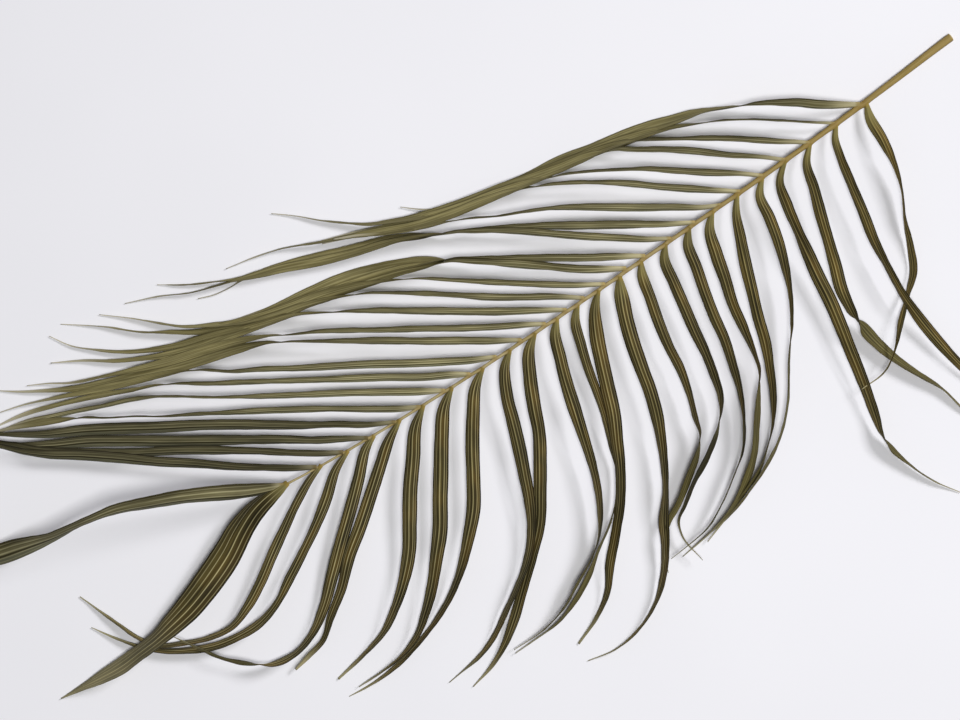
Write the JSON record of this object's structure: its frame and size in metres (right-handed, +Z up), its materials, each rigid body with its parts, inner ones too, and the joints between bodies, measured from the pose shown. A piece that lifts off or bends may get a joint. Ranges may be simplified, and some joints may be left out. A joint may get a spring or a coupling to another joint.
{
  "type": "dried areca palm leaf",
  "caption": "Dried feather palm leaf lying flat: a slender stalk with narrow folded leaflets along both sides that sweep towards the tip. For dried arrangements and display.",
  "frame": {"origin": "on the surface, under the stalk, at the small flat spot that it rests on, 10 mm from the cut end", "axes": "+X along the leaf from the stalk's cut end to the tip, +Y to the left row of leaflets, +Z up from the surface"},
  "size_m": [0.9344, 0.5157, 0.0627],
  "materials": {
    "dried_leaf": "dry, satin to matt leaf with fine parallel veins"
  },
  "bodies": {
    "root": {"frond": "dried_leaf"}
  },
  "joints": []
}
